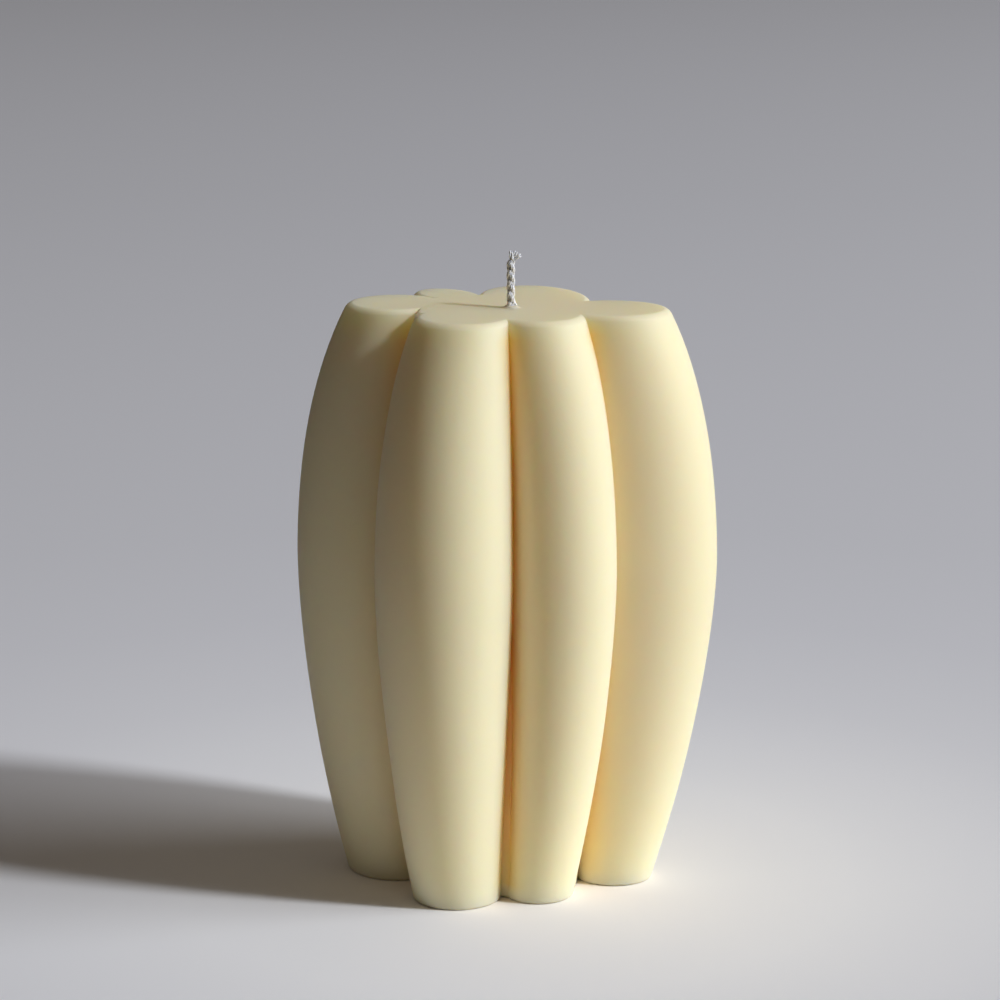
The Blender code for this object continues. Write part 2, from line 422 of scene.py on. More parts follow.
def surface_grain_group() -> bpy.types.NodeTree:
    """Build the surface of a casting once: cloudy mottling, fine bloom and a few pinholes.

    Returns:
        The group: a tone and a gloss of about 0 to 1, and a height. A pinhole takes 1 from the
        tone and PIT_DEPTH from the height.
    """
    name = "casting_surface"
    if name in bpy.data.node_groups:
        return bpy.data.node_groups[name]
    tree = new_group(
        name,
        {"Cloud": 1.0, "Bloom": 1.0, "Pinholes": 1.0},
        {"Tone": "NodeSocketFloat", "Gloss": "NodeSocketFloat", "Height": "NodeSocketFloat"},
    )
    given = tree.nodes["Group Input"].outputs
    result = tree.nodes["Group Output"].inputs
    where = tree.nodes.new("ShaderNodeTexCoord").outputs["Object"]
    cloud = noise_node(tree, where, CLOUD_SCALE, 3.0)
    veil = noise_node(tree, where, VEIL_SCALE, 3.0)
    bloom = noise_node(tree, where, BLOOM_SCALE, 2.0)
    soft = noise_node(tree, where, SOFT_SCALE, 2.0)
    cells = tree.nodes.new("ShaderNodeTexVoronoi")
    cells.inputs["Scale"].default_value = PIT_CELLS
    tree.links.new(where, cells.inputs["Vector"])
    pick = tree.nodes.new("ShaderNodeSeparateColor")
    tree.links.new(cells.outputs["Color"], pick.inputs["Color"])
    rare = math_node(tree, "GREATER_THAN", pick.outputs["Red"], PIT_RARITY)
    near = math_node(tree, "LESS_THAN", cells.outputs["Distance"], PIT_RADIUS)
    pit = math_node(tree, "MULTIPLY", math_node(tree, "MULTIPLY", rare, near), given["Pinholes"])

    clouds = math_node(tree, "MULTIPLY", cloud, CLOUD_SHARE)
    cloudy = math_node(tree, "ADD", clouds, math_node(tree, "MULTIPLY", veil, VEIL_SHARE))
    drift = math_node(tree, "MULTIPLY", math_node(tree, "SUBTRACT", cloudy, 0.5), given["Cloud"])
    tone = math_node(tree, "ADD", drift, 0.5)
    # A pinhole drops to the deeper wax colour, which is painted shade in the pit
    tree.links.new(math_node(tree, "SUBTRACT", tone, pit), result["Tone"])
    half_bloom = math_node(tree, "MULTIPLY", bloom, 0.5)
    sheen = math_node(tree, "ADD", half_bloom, math_node(tree, "MULTIPLY", veil, 0.5))
    tree.links.new(sheen, result["Gloss"])
    relief = math_node(tree, "ADD", math_node(tree, "MULTIPLY", bloom, BLOOM_HEIGHT), soft)
    raised = math_node(tree, "MULTIPLY", relief, given["Bloom"])
    sunk = math_node(tree, "MULTIPLY", pit, PIT_DEPTH)
    tree.links.new(math_node(tree, "SUBTRACT", raised, sunk), result["Height"])
    return tree


@dataclass(frozen=True)
class WaxFinish:
    """Soft ivory wax: light sinks in and comes out warmer.

    The colours are linear, the radius is how far red, green and blue light travels inside, and
    the depth share is the share of the light that sinks in at all. The groove colour is painted
    where the casting is marked, and stands in for light that glows through the wax there.
    """

    pour: Pour
    pale: Span = (0.970, 0.832, 0.525)
    deep: Span = (0.950, 0.806, 0.500)
    # The groove colour is a painted glow, standing in for light that glows through the wax in the
    # grooves
    groove: Span = (0.992, 0.680, 0.220)
    groove_glow_power: float = 1.5
    radius: Span = (22.0 * MM, 15.0 * MM, 8.0 * MM)
    depth_share: float = 0.55
    roughness: tuple[float, float] = (0.50, 0.62)
    specular: float = 0.35
    ior: float = 1.44
    cloud: float = 1.0
    bloom: float = 1.0
    relief: float = 0.012 * MM

    def material(self) -> bpy.types.Material:
        """Build the wax of this pour.

        Returns:
            The material.
        """
        made, shader = new_material(f"ivory_{self.pour.value}")
        tree = made.node_tree
        longest = max(self.radius)
        shares = [part / longest for part in self.radius]
        shader.inputs["Subsurface Weight"].default_value = self.depth_share
        shader.inputs["Subsurface Radius"].default_value = shares
        shader.inputs["Subsurface Scale"].default_value = longest
        shader.inputs["IOR"].default_value = self.ior
        shader.inputs["Specular IOR Level"].default_value = self.specular
        grain = tree.nodes.new("ShaderNodeGroup")
        grain.node_tree = surface_grain_group()
        grain.inputs["Cloud"].default_value = self.cloud
        grain.inputs["Bloom"].default_value = self.bloom
        wall = colour_blend(tree, grain.outputs["Tone"], self.deep, self.pale)
        # Blend the painted glow into the colour near the bottom of each groove, by the casting's
        # mark
        mark = tree.nodes.new("ShaderNodeAttribute")
        mark.attribute_name = GROOVE_GLOW_MARK
        depth = math_node(tree, "POWER", mark.outputs["Fac"], self.groove_glow_power)
        tree.links.new(colour_blend(tree, depth, wall, self.groove), shader.inputs["Base Color"])
        gloss = range_node(tree, grain.outputs["Gloss"], self.roughness)
        tree.links.new(gloss, shader.inputs["Roughness"])
        link_bump(tree, grain.outputs["Height"], self.relief, shader)
        return made


@dataclass(frozen=True)
class CottonFinish:
    """Bleached cotton yarn with a thin film of wax."""

    # The yarn's own paler and darker tones, mixed at random by its fibres and stains, not by light
    pale_yarn: Span = (0.94, 0.93, 0.91)
    dark_yarn: Span = (0.80, 0.77, 0.70)
    roughness: float = 0.8
    fibre_scale: float = 9000.0
    fibre_stretch: float = 0.12
    stain_scale: float = 900.0
    contrast: tuple[float, float] = (0.3, 0.6)
    depth_share: float = 0.7
    radius: Span = (1.0, 0.9, 0.75)
    radius_scale: float = 0.8 * MM
    sheen: float = 0.15
    relief: float = 0.04 * MM

    def material(self) -> bpy.types.Material:
        """Build the yarn, with fibres that run along the wick.

        Returns:
            The material.
        """
        made, shader = new_material("plaited_cotton")
        tree = made.node_tree
        shader.inputs["Roughness"].default_value = self.roughness
        shader.inputs["Subsurface Weight"].default_value = self.depth_share
        shader.inputs["Subsurface Radius"].default_value = self.radius
        shader.inputs["Subsurface Scale"].default_value = self.radius_scale
        shader.inputs["Sheen Weight"].default_value = self.sheen
        where = tree.nodes.new("ShaderNodeTexCoord").outputs["Object"]
        stretch = tree.nodes.new("ShaderNodeMapping")
        stretch.inputs["Scale"].default_value = (1.0, 1.0, self.fibre_stretch)
        tree.links.new(where, stretch.inputs["Vector"])
        fibres = noise_node(tree, stretch.outputs["Vector"], self.fibre_scale, 3.0)
        stains = noise_node(tree, where, self.stain_scale, 2.0)
        mixed = math_node(tree, "MULTIPLY", math_node(tree, "ADD", fibres, stains), 0.5)
        sharp = range_node(tree, mixed, starts=self.contrast)
        colour = colour_blend(tree, sharp, self.dark_yarn, self.pale_yarn)
        tree.links.new(colour, shader.inputs["Base Color"])
        link_bump(tree, fibres, self.relief, shader)
        return made


@dataclass(frozen=True)
class TinnedSteelFinish:
    """Thin sheet steel with a dull tin coat, brushed by the press."""

    bright: Span = (0.66, 0.66, 0.64)
    dull: Span = (0.50, 0.50, 0.49)
    roughness: tuple[float, float] = (0.25, 0.45)
    spot_scale: float = 700.0
    spot_detail: float = 4.0

    def material(self) -> bpy.types.Material:
        """Build the tab's metal.

        Returns:
            The material.
        """
        made, shader = new_material("tinned_steel")
        tree = made.node_tree
        shader.inputs["Metallic"].default_value = 1.0
        where = tree.nodes.new("ShaderNodeTexCoord").outputs["Object"]
        spots = noise_node(tree, where, self.spot_scale, self.spot_detail)
        colour = colour_blend(tree, spots, self.dull, self.bright)
        tree.links.new(colour, shader.inputs["Base Color"])
        tree.links.new(range_node(tree, spots, self.roughness), shader.inputs["Roughness"])
        return made


# The wax body


@dataclass(frozen=True)
class Swell:
    """How a lobe's sizes change with height, and how its two edges are rounded."""

    height: float = 135.0 * MM
    belly: float = 76.5 * MM
    shoulder_arc: float = 0.8
    centre_foot_power: float = 2.1
    width_foot_power: float = 1.4
    rim_radius: float = 1.3 * MM
    base_edge_radius: float = 0.6 * MM
    rings_to_belly: int = 24
    rings_to_rim: int = 20
    edge_steps: int = 6

    def at(self, height: float, sizes: Span, foot_power: float) -> float:
        """Return a size at a height from its values at the base, belly and top.

        Args:
            height: The height above the base.
            sizes: The size at the base, belly and top.
            foot_power: The power of the curve from the belly down to the base.

        Returns:
            The size at that height.
        """
        at_base, at_belly, at_top = sizes
        if height >= self.belly:
            share = (height - self.belly) / (self.height - self.belly)
            whole_drop = 1 - math.sqrt(1 - self.shoulder_arc**2)
            drop = (1 - math.sqrt(1 - (self.shoulder_arc * share) ** 2)) / whole_drop
            return at_belly + (at_top - at_belly) * drop
        share = (self.belly - height) / self.belly
        return at_belly + (at_base - at_belly) * share**foot_power

    def rings(self) -> list[tuple[float, float]]:
        """List a lobe's rings from the base up.

        Returns:
            The (height, inset) pairs.
        """
        rim_start = self.height - self.rim_radius
        foot = self.base_edge_radius
        pairs = []
        for step in range(self.edge_steps):
            turn = math.pi / 2 * step / self.edge_steps
            pairs.append((foot * (1 - math.cos(turn)), foot * (1 - math.sin(turn))))
        for step in range(self.rings_to_belly):
            pairs.append((foot + (self.belly - foot) * step / self.rings_to_belly, 0.0))
        for step in range(self.rings_to_rim + 1):
            pairs.append((self.belly + (rim_start - self.belly) * step / self.rings_to_rim, 0.0))
        for step in range(1, self.edge_steps + 1):
            turn = math.pi / 2 * step / self.edge_steps
            inset = self.rim_radius * (1 - math.cos(turn))
            pairs.append((rim_start + self.rim_radius * math.sin(turn), inset))
        return pairs


@dataclass(frozen=True)
class Lobe:
    """One lobe, an ellipse in plan whose sizes are given at the base, belly and top.

    The headings are in degrees round the casting's centre, and the turn is that of the long
    side from the heading at the belly.
    """

    name: str
    heading: Span
    centre: Span
    half_width: Span
    depth_ratio: float
    turn: float = 0.0
    sides: int = 96

    def facing(self) -> float:
        """Return the angle of the long side."""
        return math.radians(self.heading[1] + self.turn)

    def section(self, swell: Swell, height: float, inset: float) -> tuple[Vector, float, float]:
        """Work out a level section, with the lobe's own facing along X.

        Args:
            swell: The rule for the sizes.
            height: The section's height above the base.
            inset: How far the section stays inside the lobe's nominal size.

        Returns:
            The middle, the half depth and the half width.
        """
        away = math.radians(swell.at(height, self.heading, swell.centre_foot_power)) - self.facing()
        centre = swell.at(height, self.centre, swell.centre_foot_power)
        half_width = swell.at(height, self.half_width, swell.width_foot_power)
        middle = Vector((centre * math.cos(away), centre * math.sin(away), height))
        return middle, half_width * self.depth_ratio - inset, half_width - inset

    def build(self, swell: Swell, place: Vector, skin: float) -> bpy.types.Object:
        """Extrude the lobe ring by ring and turn it to its heading.

        Args:
            swell: The rule for the sizes.
            place: The casting's centre on the ground.
            skin: How far the surface stays inside the lobe's nominal size.

        Returns:
            The closed lobe.
        """
        rings = swell.rings()
        middle, half_depth, half_width = self.section(swell, rings[0][0], rings[0][1] + skin)
        lobe = add_circle(self.name, self.sides, place=middle)
        lobe.scale = (half_depth, half_width, 1.0)
        apply_place(lobe)
        with editing(lobe):
            bpy.ops.mesh.select_all(action="SELECT")
            for height, inset in rings[1:]:
                new_middle, new_depth, new_width = self.section(swell, height, inset + skin)
                move = {"value": new_middle - middle}
                bpy.ops.mesh.extrude_region_move(TRANSFORM_OT_translate=move)
                growth = (new_depth / half_depth, new_width / half_width, 1.0)
                bpy.ops.transform.resize(value=growth, center_override=new_middle)
                middle, half_depth, half_width = new_middle, new_depth, new_width
        lobe.rotation_euler.z = self.facing()
        lobe.location = place
        apply_place(lobe)
        close_and_orient(lobe)
        return lobe


@dataclass(frozen=True)
class Crease:
    """The bottom of a groove: its heading in degrees and its distance at base, belly and top."""

    heading: float
    distance: Span


def mm(*sizes: float) -> tuple[float, ...]:
    """Return sizes given in millimetres in metres."""
    return tuple(size * MM for size in sizes)


LOBES = (
    Lobe("lobe_left", (168.0, 168.0, 168.0), mm(27.0, 33.4, 27.0), mm(12.0, 17.0, 11.0), 1.0),
    Lobe(
        "lobe_front_left",
        (-126.6, -124.0, -127.8),
        mm(20.8, 27.0, 17.2),
        mm(10.2, 15.7, 11.0),
        1.0,
    ),
    Lobe("lobe_front_right", (-66.6, -57.0, -60.0), mm(16.1, 21.0, 12.5), mm(8.0, 12.5, 10.3), 1.0),
    Lobe("lobe_right", (-5.5, -6.0, -6.0), mm(24.0, 29.7, 22.8), mm(7.8, 15.5, 11.4), 1.15),
    Lobe(
        "lobe_back_right",
        (68.0, 68.0, 68.0),
        mm(13.5, 16.0, 14.0),
        mm(12.0, 18.0, 12.5),
        1.35,
        37.0,
    ),
    Lobe("lobe_back_left", (131.0, 131.0, 131.0), mm(21.9, 28.2, 22.2), mm(6.5, 9.5, 6.6), 1.4),
)

CREASES = (
    Crease(-158.0, mm(20.5, 26.0, 23.5)),
    Crease(-91.0, mm(18.5, 22.0, 18.4)),
    Crease(-36.0, mm(18.5, 22.5, 20.0)),
    Crease(12.0, mm(17.0, 19.0, 16.0)),
    Crease(114.0, mm(15.0, 19.0, 18.0)),
    Crease(153.0, mm(21.0, 25.0, 23.0)),
)


@dataclass
class WaxBody:
    """The casting: lobes fused round a core, with a bead at the wick and a well in the base."""

    centre: Vector
    wick: Vector
    swell: Swell = field(default_factory=Swell)
    lobes: tuple[Lobe, ...] = LOBES
    creases: tuple[Crease, ...] = CREASES
    skin: float = 0.12 * MM
    bead_radius: float = 2.7 * MM
    bead_height: float = 0.6 * MM
    bead_land: float = 0.2 * MM
    bead_curve: float = 2.4
    bead_steps: int = 8
    bead_sides: int = 48
    wick_radius: float = 1.05 * MM
    well_radius: float = 12.5 * MM
    well_taper: float = 2.0 * MM
    well_depth: float = 9.0 * MM
    well_round: float = 0.5 * MM
    well_round_share: float = 0.3
    well_sides: int = 96
    overcut: float = 4.0 * MM
    ripple: float = 0.09 * MM
    ripple_length: float = 26.0 * MM
    ripple_fade: float = 6 * MM
    ripple_margin: float = 1.5
    # How far from a groove's bottom the painted glow reaches, and how it fades out near the base
    # and the rim
    groove_glow_reach: float = 7.0 * MM
    groove_glow_fade: float = 2.0 * MM

    def build(self) -> bpy.types.Object:
        """Fuse, cut and smooth the casting.

        Returns:
            The finished casting.
        """
        body = self._core()
        for lobe in self.lobes:
            combine(body, lobe.build(self.swell, self.centre, self.skin), Join.FUSE)
        combine(body, self._bead(), Join.FUSE)
        combine(body, self._well(), Join.CUT)
        combine(body, self._channel(), Join.CUT)
        body.name = "cast_body"
        close_and_orient(body)
        self._ripple(body)
        shade_by_angle(body)
        weighted = body.modifiers.new("flat_faces", "WEIGHTED_NORMAL")
        weighted.keep_sharp = True
        apply_modifier(body, weighted)
        self._mark_groove_glow(body)
        return body

    def dress(self, body: bpy.types.Object, finish: WaxFinish) -> None:
        """Give the casting its finish and tie it to the frame.

        Args:
            body: The finished casting.
            finish: The wax of the first pour.
        """
        body.data.materials.clear()
        body.data.materials.append(finish.material())
        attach(body, BODY)
        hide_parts("wax_body")

    def _core(self) -> bpy.types.Object:
        """Extrude the core ring by ring, with one corner in each crease.

        Returns:
            The closed core.
        """
        rings = self.swell.rings()
        core = add_circle("core", len(self.creases))
        for vertex, corner in zip(core.data.vertices, self._corners(rings[0])):
            vertex.co = corner
        with editing(core):
            bpy.ops.mesh.select_all(action="SELECT")
            for before, after in zip(rings, rings[1:]):
                rise = (0.0, 0.0, after[0] - before[0])
                bpy.ops.mesh.extrude_region_move(TRANSFORM_OT_translate={"value": rise})
        self._place_corners(core, rings)
        close_and_orient(core)
        return core

    def _corners(self, ring: tuple[float, float]) -> list[Vector]:
        """Work out the core's corners in one ring.

        Args:
            ring: The ring's height and inset.

        Returns:
            One point for each crease.
        """
        height, inset = ring
        corners = []
        for crease in self.creases:
            heading = math.radians(crease.heading)
            reach = self.swell.at(height, crease.distance, self.swell.centre_foot_power)
            distance = reach - inset - self.skin
            out = Vector((math.cos(heading), math.sin(heading), 0.0))
            corners.append(self.centre + out * distance + Vector((0.0, 0.0, height)))
        return corners

    def _place_corners(self, core: bpy.types.Object, rings: list[tuple[float, float]]) -> None:
        """Move each extruded corner out to its own crease, found by its height and heading.

        Args:
            core: The core, extruded straight up from its lowest ring.
            rings: The (height, inset) pairs of its rings.
        """
        first = self._corners(rings[0])
        for ring in rings:
            corners = self._corners(ring)
            for vertex in core.data.vertices:
                if abs(vertex.co.z - ring[0]) > MERGE_DISTANCE:
                    continue
                gaps = [(vertex.co.xy - corner.xy).length for corner in first]
                vertex.co = corners[gaps.index(min(gaps))]

    def _bead(self) -> bpy.types.Object:
        """Spin the bead of wax that climbs the wick.

        Returns:
            The bead, with its foot sunk in the body.
        """
        top = self.swell.height + self.bead_height
        land = self.wick_radius + self.bead_land
        outline = [(0.0, top)]
        for step in range(self.bead_steps + 1):
            share = step / self.bead_steps
            radius = land + (self.bead_radius - land) * share
            climb = self.bead_height * (1 - share) ** self.bead_curve
            outline.append((radius, self.swell.height + climb))
        outline.append((self.bead_radius, self.swell.height - self.bead_height))
        outline.append((0.0, self.swell.height - self.bead_height))
        return spin_outline("bead", outline, self.bead_sides, self.wick)

    def _well(self) -> bpy.types.Object:
        """Spin the cutter of the well, which rounds the well's edge too.

        Returns:
            The cutter, which reaches below the base.
        """
        arc = self.well_round * self.well_round_share
        outline = [
            (0.0, self.well_depth),
            (self.well_radius - self.well_taper, self.well_depth),
            (self.well_radius, self.well_round),
            (self.well_radius + arc, arc),
            (self.well_radius + self.well_round, 0.0),
            (self.well_radius + self.well_round, -self.overcut),
            (0.0, -self.overcut),
        ]
        return spin_outline("well", outline, self.well_sides, self.wick)

    def _channel(self) -> bpy.types.Object:
        """Spin the cutter of the wick's channel.

        Returns:
            The cutter, which reaches past both ends of the casting.
        """
        top = self.swell.height + self.bead_height + self.overcut
        low = -self.overcut
        outline = [(0.0, top), (self.wick_radius, top), (self.wick_radius, low), (0.0, low)]
        return spin_outline("channel", outline, self.bead_sides, self.wick)

    def _ripple(self, body: bpy.types.Object) -> None:
        """Move the walls in and out a little, as a hand-poured casting's are.

        Args:
            body: The casting.
        """
        low = self.swell.base_edge_radius * self.ripple_margin
        high = self.swell.height - self.swell.rim_radius * self.ripple_margin
        for vertex in body.data.vertices:
            height = vertex.co.z
            if not low < height < high:
                continue
            fade = min(1.0, (height - low) / self.ripple_fade, (high - height) / self.ripple_fade)
            wave = noise.noise(vertex.co / self.ripple_length)
            vertex.co += vertex.normal * (wave * self.ripple * fade)

    def _mark_groove_glow(self, body: bpy.types.Object) -> None:
        """Mark how near each point of the walls is to the bottom of a groove, where the wax gets a
        painted glow.

        Args:
            body: The casting, which gets the mark as a point attribute.
        """
        marks = body.data.attributes.new(GROOVE_GLOW_MARK, "FLOAT", "POINT")
        low = self.swell.base_edge_radius
        high = self.swell.height - self.swell.rim_radius
        for vertex, mark in zip(body.data.vertices, marks.data):
            height = vertex.co.z
            if not low < height < high:
                continue
            corners = self._corners((height, 0.0))
            gap = min((vertex.co.xy - corner.xy).length for corner in corners)
            fade = min(1.0, (height - low) / self.groove_glow_fade, (high - height) / self.groove_glow_fade)
            mark.value = max(0.0, 1.0 - gap / self.groove_glow_reach) * fade


# The second pour


@dataclass
class BasePlug:
    """The second pour, which fills the well round the tab and sinks a little as it sets."""

    place: Vector
    radius: float = 12.35 * MM
    taper: float = 2.0 * MM
    depth: float = 8.7 * MM
    sink: float = 0.25 * MM
    edge: float = 0.45 * MM
    edge_steps: int = 4
    lip: float = 0.1 * MM
    tab_bore: float = 7.7 * MM
    tab_top: float = 1.25 * MM
    neck_bore: float = 2.0 * MM
    neck_top: float = 6.3 * MM
    wick_bore: float = 1.15 * MM
    rings: int = 6
    sides: int = 96

    def build(self) -> bpy.types.Object:
        """Spin the plug.

        Returns:
            The finished plug.
        """
        rim = self.radius - self.edge
        outline = [
            (self.wick_bore, self.depth),
            (self.radius - self.taper, self.depth),
            (self.radius, self.edge),
        ]
        outline += quarter_arc((rim, self.edge), self.edge, 0.0, self.edge_steps)[1:]
        for step in range(1, self.rings + 1):
            share = step / self.rings
            radius = rim + (self.tab_bore + self.edge - self.radius) * share
            outline.append((radius, self.sink * math.sin(math.pi / 2 * share)))
        outline += [
            (self.tab_bore, self.sink + self.lip),
            (self.tab_bore, self.tab_top),
            (self.neck_bore, self.tab_top),
            (self.neck_bore, self.neck_top),
            (self.wick_bore, self.neck_top),
        ]
        plug = spin_outline("second_pour", outline, self.sides, self.place)
        shade_by_angle(plug)
        return plug

    def dress(self, plug: bpy.types.Object, finish: WaxFinish) -> None:
        """Give the plug its finish and tie it to the frame.

        Args:
            plug: The finished plug.
            finish: The wax of the second pour.
        """
        plug.data.materials.append(finish.material())
        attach(plug, BODY)
        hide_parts("base_plug")


# The wick


@dataclass(frozen=True)
class Tuft:
    """Where one strand of the plait ends once it frays, from the wick's axis."""

    aside: float
    back: float
    top: float
    spread: float


@dataclass
class Wick:
    """A three-strand plait of twisted cotton yarns that frays at its tip.

    The fuzz's rise and lift are the upward parts of a fibre's direction and of its curl.
    """

    place: Vector
    foot: float = 0.6 * MM
    wax_top: float = 135.0 * MM
    plait_pitch: float = 7.2 * MM
    plait_half_width: float = 0.40 * MM
    plait_half_depth: float = 0.36 * MM
    core_radius: float = 0.66 * MM
    yarns: int = 6
    strand_radius: float = 0.37 * MM
    yarn_radius: float = 0.22 * MM
    twist_pitch: float = 9.0 * MM
    offset: float = -0.10 * MM
    flare: float = 0.55 * MM
    flare_height: float = 0.9 * MM
    hidden_step: float = 0.8 * MM
    shown_step: float = 0.3 * MM
    shown_from: float = 133.0 * MM
    fray_from: float = 145.0 * MM
    seed: int = 7
    tufts: tuple[Tuft, ...] = (
        Tuft(-0.05 * MM, -0.25 * MM, 148.15 * MM, 0.30 * MM),
        Tuft(2.05 * MM, -0.2 * MM, 147.45 * MM, 0.20 * MM),
        Tuft(1.15 * MM, 0.45 * MM, 147.95 * MM, 0.30 * MM),
    )
    yarn_bevel: int = 2
    uneven_mm: float = 0.7
    lean_power: float = 1.6
    tip_thinning: float = 0.45
    core_tip: float = 0.35
    fuzz_count: int = 90
    fuzz_radius: float = 0.014 * MM
    fuzz_from: float = 136.5 * MM
    fuzz_top: float = 148.2 * MM
    fuzz_steps: int = 4
    fuzz_crowding: float = 0.7
    fuzz_length_mm: tuple[float, float] = (0.25, 0.75)
    fuzz_curl: float = 0.45
    fuzz_thinning: float = 0.6
    fuzz_rise: tuple[float, float] = (-0.2, 0.8)
    fuzz_lift: tuple[float, float] = (-0.4, 1.0)
    fuzz_root: float = 0.6

    def build(self) -> list[bpy.types.Object]:
        """Lay the yarns and the loose fibres.

        Returns:
            The plait and its fibres.
        """
        dice = random.Random(self.seed)
        paths = []
        for strand, tuft in enumerate(self.tufts):
            for yarn in range(self.yarns):
                paths.append(self._yarn_path(strand, yarn, tuft, dice))
        paths.append(self._core_path())
        plait = self._tubes("plaited_wick", paths, self.yarn_radius, self.yarn_bevel)
        fuzz = self._tubes("wick_fuzz", self._fuzz_paths(paths, dice), self.fuzz_radius, 0)
        return [plait, fuzz]

    def dress(self, pieces: Sequence[bpy.types.Object], finish: CottonFinish) -> None:
        """Give the plait and fibres their finish and tie them to the frame.

        Args:
            pieces: The plait and its fibres.
            finish: The cotton.
        """
        cotton = finish.material()
        for piece in pieces:
            piece.data.materials.append(cotton)
            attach(piece, BODY)
        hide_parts("wick")

    def _heights(self, top: float) -> list[float]:
        """Work out the heights of a yarn's points, closer together where it shows.

        Args:
            top: The height of the yarn's end.

        Returns:
            The heights from the foot up.
        """
        hidden = math.ceil((self.shown_from - self.foot) / self.hidden_step)
        shown = math.ceil((top - self.shown_from) / self.shown_step)
        below = self.shown_from - self.foot
        above = top - self.shown_from
        heights = [self.foot + below * step / hidden for step in range(hidden)]
        return heights + [self.shown_from + above * step / shown for step in range(shown + 1)]

    def _yarn_path(self, strand: int, yarn: int, tuft: Tuft, dice: random.Random) -> Path:
        """Work out the way of one yarn.

        Args:
            strand: The number of the strand that it is in.
            yarn: Its number in the strand.
            tuft: Where the strand ends.
            dice: The source of its unevenness.

        Returns:
            The yarn's points, each with its share of the yarn's radius.
        """
        top = tuft.top - dice.uniform(0.0, self.uneven_mm) * MM
        loose = dice.uniform(0.0, 2 * math.pi)
        points = []
        for height in self._heights(top):
            turn = 2 * math.pi * (height / self.plait_pitch + strand / len(self.tufts))
            twist = 2 * math.pi * (height / self.twist_pitch + yarn / self.yarns)
            fray = max(0.0, (height - self.fray_from) / (top - self.fray_from))
            ease = fray * fray * (3 - 2 * fray)
            aside = self.plait_half_width * math.sin(turn) * (1 - ease)
            aside += tuft.aside * fray**self.lean_power
            aside += self.offset * (1 - ease)
            back = self.plait_half_depth * math.sin(2 * turn) * (1 - ease) + tuft.back * ease
            circle = self.strand_radius * (1 - ease) + tuft.spread * ease
            angle = twist * (1 - ease) + (loose + twist) * ease
            across = aside + circle * math.cos(angle)
            offset = Vector((across, back + circle * math.sin(angle), height))
            offset.x += self._flare(height) * max(0.0, offset.x) / self.plait_half_width
            points.append((self.place + offset, 1.0 - self.tip_thinning * fray**3))
        return points

    def _flare(self, height: float) -> float:
        """Return how far the plait spreads to the right at its foot, where wax climbs it."""
        share = max(0.0, height - self.wax_top) / self.flare_height
        return self.flare * math.exp(-(share**2)) if height > self.wax_top else 0.0

    def _core_path(self) -> Path:
        """Work out the core yarn, which fills the plait up to where it frays.

        Returns:
            The core's points, each with its share of a yarn's radius.
        """
        points = []
        for height in self._heights(self.fray_from + self.core_radius):
            left = max(0.0, self.fray_from - height) / self.core_radius
            share = min(1.0, self.core_tip + left) * self.core_radius / self.yarn_radius
            points.append((self.place + Vector((self.offset, 0.0, height)), share))
        return points

    def _fuzz_paths(self, paths: list[Path], dice: random.Random) -> list[Path]:
        """Work out short fibres that stand off the yarns above the wax.

        Args:
            paths: The yarns and the core.
            dice: The source of the fibres' places and curls.

        Returns:
            The fibres' points, each with its share of a fibre's radius.
        """
        fibres = []
        for _ in range(self.fuzz_count):
            path = dice.choice(paths)
            shown = [point for point, _ in path if point.z > self.fuzz_from]
            root = shown[int(len(shown) * dice.random() ** self.fuzz_crowding)]
            angle = dice.uniform(0.0, 2 * math.pi)
            out = Vector((math.cos(angle), math.sin(angle), dice.uniform(*self.fuzz_rise)))
            length = dice.uniform(*self.fuzz_length_mm) * MM
            sideways = (dice.uniform(-1, 1), dice.uniform(-1, 1))
            curl = Vector((*sideways, dice.uniform(*self.fuzz_lift)))
            start = root + out * self.yarn_radius * self.fuzz_root
            fibre = []
            for step in range(self.fuzz_steps + 1):
                share = step / self.fuzz_steps
                reach = out * (length * share) + curl * (length * self.fuzz_curl * share**2)
                fibre.append((start + reach, 1.0 - self.fuzz_thinning * share))
            fibres.append(fibre)
        return [self._below(fibre, self.fuzz_top) for fibre in fibres]

    @staticmethod
    def _below(fibre: Path, top: float) -> Path:
        """Return a fibre with its points held below a height."""
        return [(Vector((point.x, point.y, min(point.z, top))), share) for point, share in fibre]

    @staticmethod
    def _tubes(name: str, paths: list[Path], radius: float, resolution: int) -> bpy.types.Object:
        """Lay one mesh of capped tubes that follow the paths.

        Args:
            name: The new piece's name.
            paths: The points of each tube, each with its share of the radius.
            radius: The radius of a tube.
            resolution: How finely a tube is rounded; 0 is the coarsest.

        Returns:
            The tubes.
        """
        bpy.ops.object.select_all(action="DESELECT")
        bpy.ops.curve.primitive_nurbs_path_add()
        tubes = bpy.context.object
        tubes.name = name
        tubes.data.splines.clear()
        tubes.data.bevel_depth = radius
        tubes.data.bevel_resolution = resolution
        tubes.data.use_fill_caps = True
        for path in paths:
            spline = tubes.data.splines.new("POLY")
            spline.points.add(len(path) - 1)
            for point, (place, share) in zip(spline.points, path):
                point.co = (*place, 1.0)
                point.radius = share
        take_up(tubes)
        bpy.ops.object.convert(target="MESH")
        close_and_orient(tubes)
        bpy.ops.object.shade_smooth()
        return tubes


# The wick tab


